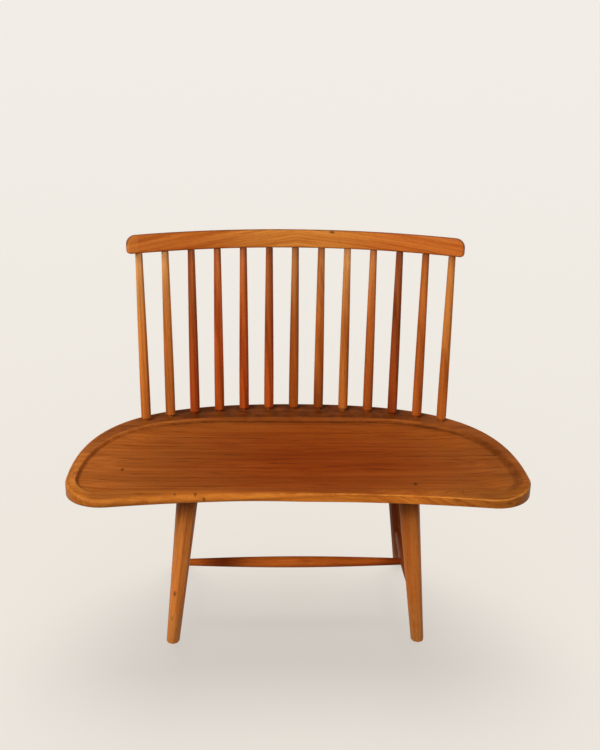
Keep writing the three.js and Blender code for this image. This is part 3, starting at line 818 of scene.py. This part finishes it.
def crest_rings():
    """Rings from end to end, with the upper arrises rubbed and painted shade along the top."""
    half_length = (SPINDLES - 1) / 2 * PITCH_AT_CREST + CREST_OVERHANG
    runs = [CREST_TOP_CORNER * (1 - math.cos(step / 14 * math.pi / 2)) for step in range(14)]
    straight = 2 * (half_length - CREST_TOP_CORNER)
    middle = [CREST_TOP_CORNER + straight * step / 72 for step in range(73)]
    spots = runs + middle + [2 * half_length - run for run in reversed(runs)]
    clean = [0.0] * ARC_POINTS
    worn = clean + [0.08] * (2 * ARC_POINTS) + clean
    # painted shade along the top of the rail
    dust_and_painted_shade = clean + [0.6, 0.8] + [0.9] * 8 + [0.7, 0.35, 0.1, 0.0] + clean
    return [(crest_ring(spot - half_length, half_length), worn, dust_and_painted_shade) for spot in spots]


def crest_grain(place):
    """The place in the straight board before it was bent, so that the grain
    follows the bend, with the figure rising to the middle from both ends."""
    bend = row_at_crest(place.x / PITCH_AT_CREST).y
    return Vector((place.x, place.y - bend + 0.03,
                   place.z - CREST_BOTTOM + 0.02 + 0.13 * abs(place.x) - 0.02 * place.x))


CREST_PALE = (0.70, 0.235, 0.036, 1)
CREST_DEEP = (0.46, 0.113, 0.012, 1)
CREST_LEFT_END_HIGHLIGHT = (0.72, 0.27, 0.055, 1)
CREST_RUBBED = (0.74, 0.33, 0.08, 1)
CREST_PAINTED_SHADE = (0.10, 0.022, 0.004, 1)
CREST_KNOTS = (((0.0895, 0.0275, 0.0715), 0.006, DRAWN_OUT),)
CREST_MIDDLE_TINT = (1.08, 1.20, 1.35, 1)
CREST_END_TINT = (0.95, 0.80, 0.80, 1)


def crest_wood():
    """Orange hardwood whose figure slants across the face, yellower in the
    middle and redder to the ends."""
    material = fresh_material("crest_wood")
    tree = material.node_tree
    place = mark_on(tree, "timber")["Vector"]
    timber = timber_nodes(tree, place, CREST_PALE, CREST_DEEP, spacing=0.007, wander=0.02)
    along = node(tree, "SeparateXYZ", Vector=place).outputs["X"]
    outward = smooth(tree, maths(tree, "ABSOLUTE", along), 0.06, 0.27)
    warmth = mixed_colour(tree, outward, CREST_MIDDLE_TINT, CREST_END_TINT)
    warmed = vectors(tree, "MULTIPLY", timber["Colour"], warmth)
    # painted highlight: the left end paler, where its rounded end catches the light
    left_end_highlight = smooth(tree, along, -0.380, -0.386, 0.0, 0.30)
    ended = mixed_colour(tree, left_end_highlight, warmed, CREST_LEFT_END_HIGHLIGHT)
    marked = knotted(tree, ended, place, CREST_KNOTS)
    oiled(tree, timber, marked, place, CREST_RUBBED, CREST_PAINTED_SHADE)
    return material


crest = skinned(crest_rings(), "bent_crest_rail", crest_grain)
crest.data.materials.append(crest_wood())
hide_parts("crest_rail")


# ------------------------------------------------
# Spindles: thirteen straight tapered rods, thicker at the seat, shaved from
# riven billets that differ in colour. Each has a rounded foot over a round
# tenon, and each is glued into the deck and the crest rail.

SPINDLE_BASE = 0.024
SPINDLE_TIP = 0.0175
SPINDLE_SEAT_TENON = 0.017
SPINDLE_CREST_TENON = 0.011
SPINDLE_SHOULDER = 0.005
SPINDLE_TENON = 0.022
SPINDLE_BELLY = 0.0007
# how far the painted shadow under the rail and the painted shade at the deck reach
RAIL_SHADOW_REACH = 0.020
DECK_SHADOW_REACH = 0.006
UP = Vector((0, 0, 1))

BILLETS = {"amber": ((0.66, 0.245, 0.048, 1), (0.36, 0.095, 0.012, 1)),
           "orange": ((0.58, 0.170, 0.028, 1), (0.31, 0.066, 0.007, 1)),
           "red": ((0.45, 0.098, 0.015, 1), (0.20, 0.028, 0.003, 1))}
BILLET_RUBBED = (0.66, 0.30, 0.08, 1)
# the dark colour of the billets' dirt mark, which paints shade on the spindles and legs
BILLET_PAINTED_SHADE = (0.030, 0.008, 0.002, 1)
SPINDLE_BILLETS = (("amber", 0.98, 1.20, 1.28, 1.0), ("amber", 0.80, 1.12, 1.28, 1.0),
                   ("red", 1.10, 0.90, 1.08, 1.0), ("red", 1.20, 1.50, 1.38, 1.0),
                   ("red", 1.18, 1.32, 1.34, 1.0), ("red", 1.10, 0.84, 0.98, 1.0),
                   ("orange", 0.81, 0.77, 0.84, 1.0), ("orange", 0.60, 1.10, 1.04, 1.0),
                   ("amber", 0.88, 0.93, 1.32, 1.0), ("orange", 0.80, 1.02, 1.34, 1.0),
                   ("red", 0.84, 0.60, 0.90, 1.0), ("orange", 0.86, 0.94, 1.00, 0.2),
                   ("amber", 1.00, 0.90, 1.00, 0.2))
TONE_SPOTS = (0.15, 0.55, 0.85, 0.98)
SEAT_BOUNCE_RED = Vector((1.0, 0.80, 0.65))
WARM = Vector((1.0, 0.92, 0.86))
YELLOWEST = Vector((1.0, 1.24, 1.90))
PALEST = Vector((1.08, 1.42, 2.60))


def spindle_tone_and_bounce(share, tones, paleness):
    """The billet's tone at a share of its height: redder at the seat, which is painted
    light thrown up from the seat, and yellower and paler under the rail."""
    low, middle, high = tones
    stops = (SEAT_BOUNCE_RED * low, WARM * middle, WARM.lerp(YELLOWEST, paleness) * high,
             WARM.lerp(PALEST, paleness) * high)
    for spot, next_spot, tone, next_tone in zip(TONE_SPOTS, TONE_SPOTS[1:], stops, stops[1:]):
        if share < next_spot:
            return tone.lerp(next_tone, max(0.0, (share - spot) / (next_spot - spot)))
    return stops[-1]


def spindle_profile(length, lean):
    """Radius and height up the spindle's own axis from the deck."""
    base = SPINDLE_BASE / 2
    tip = SPINDLE_TIP / 2
    seat_tenon = SPINDLE_SEAT_TENON / 2
    crest_tenon = SPINDLE_CREST_TENON / 2
    lift = 0.0003 + base * math.tan(lean)
    profile = [(0.0, -SPINDLE_TENON), (seat_tenon, -SPINDLE_TENON), (seat_tenon, lift - 0.0005)]
    for step in range(9):
        angle = step / 8 * math.pi / 2
        profile.append((base - (base - seat_tenon) * (1 - math.sin(angle)),
                        lift + SPINDLE_SHOULDER * (1 - math.cos(angle))))
    start = lift + SPINDLE_SHOULDER
    for step in range(1, 13):
        share = step / 12
        belly = SPINDLE_BELLY * math.sin(math.pi * share ** 0.7)
        profile.append((blended(base, tip, share) + belly,
                        blended(start, length - 0.002, share)))
    profile += [(tip - 0.0004, length - 0.0008), (tip - 0.0011, length - 0.0004),
                (crest_tenon, length - 0.0003), (crest_tenon, length + SPINDLE_TENON),
                (0.0, length + SPINDLE_TENON)]
    return profile


def spun(profile, sides, start_place, tone=1.0):
    """Spins a profile round its own axis. Each point keeps its place in the
    billet that the piece was shaved from, with the grain along the axis."""
    shape = bmesh.new()
    timber = shape.verts.layers.float_vector.new("timber")
    shape.verts.layers.float.new("wear")
    shape.verts.layers.float.new("dirt")
    tone_layer = shape.verts.layers.float_vector.new("tone")
    corners = [shape.verts.new((radius, 0.0, height)) for radius, height in profile]
    edges = [shape.edges.new(pair) for pair in zip(corners, corners[1:])]
    bmesh.ops.spin(shape, geom=corners + edges, cent=(0, 0, 0), axis=(0, 0, 1),
                   angle=2 * math.pi, steps=sides, use_merge=True)
    bmesh.ops.remove_doubles(shape, verts=shape.verts, dist=0.00002)
    bmesh.ops.recalc_face_normals(shape, faces=shape.faces)
    for corner in shape.verts:
        corner[timber] = Vector((corner.co.z, corner.co.x, corner.co.y)) + start_place
        corner[tone_layer] = Vector((tone, tone, tone))
    return shape


def aimed(shape, start, end):
    """Stands a piece modelled up Z at one place and turns it towards another."""
    turn = UP.rotation_difference(end - start).to_matrix().to_4x4()
    bmesh.ops.transform(shape, matrix=Matrix.Translation(start) @ turn, verts=shape.verts)


def billet_wood(name, pale, deep, spacing, wander, contrast=1.0, knots=(), dark=KNOT_DARK):
    """Wood whose grain runs along the piece, from the piece's own billet, a little lighter
    or darker than the next; its tone mark is also painted shade on the rear legs and side
    stretchers and painted light on the spindles."""
    material = fresh_material(name)
    tree = material.node_tree
    place = mark_on(tree, "timber")["Vector"]
    timber = timber_nodes(tree, place, pale, deep, spacing, wander, contrast)
    toned = vectors(tree, "MULTIPLY", timber["Colour"], mark_on(tree, "tone")["Vector"])
    marked = knotted(tree, toned, place, knots, dark)
    oiled(tree, timber, marked, place, BILLET_RUBBED, BILLET_PAINTED_SHADE)
    return material


billet_woods = {name: billet_wood("spindle_wood_" + name, pale, deep, spacing=0.005, wander=0.01)
                for name, (pale, deep) in BILLETS.items()}

for count in range(1, SPINDLES + 1):
    number = count - 1 - (SPINDLES - 1) / 2
    base = row_at_seat(number)
    top = row_at_crest(number)
    length = (top - base).length
    lean = (top - base).angle(UP)
    cut_from = Vector((count * 1.37, 0.035 + 0.017 * (count % 4), 0.028 + 0.011 * (count % 3)))
    billet, *tones, paleness = SPINDLE_BILLETS[count - 1]
    shape = spun(spindle_profile(length, lean), 32, cut_from)
    dirt_layer = shape.verts.layers.float["dirt"]
    tone_layer = shape.verts.layers.float_vector["tone"]
    for corner in shape.verts:
        corner[tone_layer] = spindle_tone_and_bounce(corner.co.z / length, tones, paleness)
        # the dirt mark is painted shade: the rail's shadow over the top, and shade at the foot
        # on the deck
        rail_shadow = 0.6 * max(0.0, 1 - (length - corner.co.z) / RAIL_SHADOW_REACH)
        corner[dirt_layer] = max(0.0, 1 - max(corner.co.z, 0.0) / DECK_SHADOW_REACH, rail_shadow)
    aimed(shape, base, top)
    spindle = finished(shape, f"shaved_spindle_{count:02d}")
    spindle.data.materials.append(billet_woods[billet])
    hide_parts(f"spindle_{count:02d}")


# ------------------------------------------------
# Legs: four tapered legs of orange hardwood, planed to eight flats with the
# arrises just eased. They splay out to the ends, front and back, are cut flat
# at the floor, and their top tenons are glued into the underside of the seat.

LEG_TOP_X = 0.2515
LEG_FOOT_X = 0.2925
FRONT_TOP_Y = -0.160915
FRONT_FOOT_Y = -0.188915
REAR_TOP_Y = 0.113085
REAR_FOOT_Y = 0.160085
LEG_TOP_WIDTH = 0.047
LEG_FOOT_WIDTH = 0.029
LEG_FLATS = 8
LEG_ARRIS = 0.0016
FOOT_ARRIS = 0.0012
FOOT_WEAR_REACH = 0.02
# how far the seat's painted shadow and the darker joint reach down the leg
SEAT_SHADOW_REACH = 0.095
JOINT_SHADOW_REACH = 0.022
LEG_CUTS = (0.14, 0.28, 0.32, 0.345, 0.37, 0.385)


def leg_axis(side, rank):
    """Foot and top of a leg's axis: side -1 left, 1 right; rank front or rear."""
    foot_y = FRONT_FOOT_Y if rank == "front" else REAR_FOOT_Y
    top_y = FRONT_TOP_Y if rank == "front" else REAR_TOP_Y
    foot = Vector((side * LEG_FOOT_X, foot_y, 0.0))
    return foot, Vector((side * LEG_TOP_X, top_y, SEAT_UNDER))


def leg_place(side, rank, height):
    foot, top = leg_axis(side, rank)
    return foot.lerp(top, height / SEAT_UNDER)


def planed_leg(side, rank, cut_from, tone):
    """An eight-sided tapered leg, cut flat at the floor and under the seat."""
    foot, top = leg_axis(side, rank)
    length = (top - foot).length
    over_flats = 1 / math.cos(math.pi / LEG_FLATS)
    taper = (LEG_TOP_WIDTH - LEG_FOOT_WIDTH) / length
    spare = 0.04
    low = over_flats * (LEG_FOOT_WIDTH - taper * spare) / 2
    high = over_flats * (LEG_TOP_WIDTH + taper * spare) / 2
    shape = bmesh.new()
    timber = shape.verts.layers.float_vector.new("timber")
    wear_layer = shape.verts.layers.float.new("wear")
    dirt_layer = shape.verts.layers.float.new("dirt")
    tone_layer = shape.verts.layers.float_vector.new("tone")
    bmesh.ops.create_cone(shape, cap_ends=True, segments=LEG_FLATS, radius1=low, radius2=high,
                          depth=length + 2 * spare)
    bmesh.ops.translate(shape, vec=(0, 0, length / 2), verts=shape.verts)
    arrises = [edge for edge in shape.edges if edge.calc_length() > length]
    bmesh.ops.bevel(shape, geom=arrises, offset=LEG_ARRIS, segments=3, profile=0.5,
                    affect="EDGES", material=-1)
    turn = UP.rotation_difference(top - foot).to_matrix()
    back = turn.inverted()
    floor_normal = back @ UP
    leg_end = SEAT_UNDER - 0.0003
    for height in (0.0, *LEG_CUTS, leg_end):
        spot = back @ (Vector((0, 0, height)) - foot)
        bmesh.ops.bisect_plane(shape, geom=shape.verts[:] + shape.edges[:] + shape.faces[:],
                               plane_co=spot, plane_no=floor_normal,
                               clear_inner=height == 0.0, clear_outer=height == leg_end)
        if height in (0.0, leg_end):
            rim = [edge for edge in shape.edges if edge.is_boundary]
            bmesh.ops.contextual_create(shape, geom=rim)
    rim = [edge for edge in shape.edges
           if all(abs((turn @ v.co + foot).z) < 0.0001 for v in edge.verts)]
    bmesh.ops.bevel(shape, geom=rim, offset=FOOT_ARRIS, segments=2, profile=0.5,
                    affect="EDGES", material=-1)
    bmesh.ops.recalc_face_normals(shape, faces=shape.faces)
    for corner in shape.verts:
        place = corner.co
        corner[timber] = Vector((place.z, place.x, place.y)) + cut_from
        corner[wear_layer] = max(0.0, 1 - max(place.z, 0.0) / FOOT_WEAR_REACH) * 0.6
        # the dirt mark is the seat's painted shadow over the leg's top, darkest at the joint
        below = length - place.z
        corner[dirt_layer] = (1.1 * (1 - eased(below / SEAT_SHADOW_REACH))
                              + 1.2 * (1 - eased(below / JOINT_SHADOW_REACH)))
        corner[tone_layer] = Vector(tone)
    aimed(shape, foot, top)
    for corner in shape.verts:
        corner.co.z = max(corner.co.z, 0.0)
    return shape


LEG_PALE = (0.74, 0.245, 0.042, 1)
LEG_DEEP = (0.42, 0.112, 0.014, 1)
LEG_KNOTS = (((-2.067, 0.043, 0.024), 0.0050, (0.4, 1.0, 1.0)),
             ((-2.134, 0.042, 0.0245), 0.0038, (0.3, 1.0, 1.0)))
leg_wood = billet_wood("leg_wood", LEG_PALE, LEG_DEEP, spacing=0.007, wander=0.016,
                       contrast=0.85, knots=LEG_KNOTS)
# the rear legs' much darker tones are painted shade under the seat; the front legs differ a
# little in tone
LEG_TONES_AND_SHADE = {"front_left": (1.05, 1.03, 1.15), "front_right": (0.86, 0.79, 0.80),
             "rear_left": (0.66, 0.54, 0.50), "rear_right": (0.42, 0.27, 0.22)}

for side, side_name in ((-1, "left"), (1, "right")):
    for rank in ("front", "rear"):
        start = Vector((side * 3.1 + (0.9 if rank == "front" else 2.2), 0.05, 0.04))
        tone = LEG_TONES_AND_SHADE[f"{rank}_{side_name}"]
        leg = finished(planed_leg(side, rank, start, tone), f"planed_leg_{rank}_{side_name}")
        leg.data.materials.append(leg_wood)
        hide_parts(f"leg_{rank}_{side_name}")


# ------------------------------------------------
# Stretchers: two side rails between the front and rear legs, and one across
# between them, each turned with a long swell in the middle from redder wood,
# and glued into blind holes.

STRETCHER_HEIGHT = 0.110
SWELL_WIDTH = 0.028
STRETCHER_END = 0.017
SIDE_TENON = 0.018
MEDIAL_TENON = 0.015
STRETCHER_PALE = (0.74, 0.178, 0.022, 1)
STRETCHER_DEEP = (0.36, 0.057, 0.005, 1)
HEART_DARK = (0.13, 0.010, 0.0012, 1)
DARK_HEART = (((8.104, 0.04, 0.03), 0.046, DRAWN_OUT), ((8.535, 0.04, 0.03), 0.034, DRAWN_OUT))
# the side stretchers' darker tone is painted shade under the bench
SIDE_STRETCHER_SHADE = 0.6


def stretcher_profile(length, hidden):
    """Radius and place along a stretcher: plain ends and a long swell."""
    end = STRETCHER_END / 2
    swell = (SWELL_WIDTH - STRETCHER_END) / 2
    profile = [(0.0, 0.0), (end, 0.0)]
    for step in range(29):
        share = step / 28
        profile.append((end + swell * math.sin(math.pi * share),
                        hidden + (length - 2 * hidden) * share))
    return profile + [(end, length), (0.0, length)]


stretcher_wood = billet_wood("stretcher_wood", STRETCHER_PALE, STRETCHER_DEEP, spacing=0.006,
                             wander=0.014, knots=DARK_HEART, dark=HEART_DARK)


def turned_stretcher(name, start, end, hidden, cut_from, stands_for, tone=1.0):
    """Turns one stretcher between two places and sets it in the frame."""
    shape = spun(stretcher_profile((end - start).length, hidden), 36, cut_from, tone)
    aimed(shape, start, end)
    stretcher = finished(shape, name)
    stretcher.data.materials.append(stretcher_wood)
    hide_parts(stands_for)


for side, side_name in ((-1, "left"), (1, "right")):
    turned_stretcher(f"turned_side_stretcher_{side_name}",
                     leg_place(side, "front", STRETCHER_HEIGHT),
                     leg_place(side, "rear", STRETCHER_HEIGHT), SIDE_TENON,
                     Vector((5.0 + side, 0.03, 0.035)), f"side_stretcher_{side_name}", SIDE_STRETCHER_SHADE)


def medial_tip(side):
    """Where the cross stretcher's tenon ends inside a side stretcher."""
    front = leg_place(side, "front", STRETCHER_HEIGHT)
    middle = front.lerp(leg_place(side, "rear", STRETCHER_HEIGHT), 0.5)
    middle.x -= side * (SWELL_WIDTH / 2 - MEDIAL_TENON)
    return middle


turned_stretcher("turned_medial_stretcher", medial_tip(-1), medial_tip(1), MEDIAL_TENON,
                 Vector((8.0, 0.04, 0.03)), "medial_stretcher")
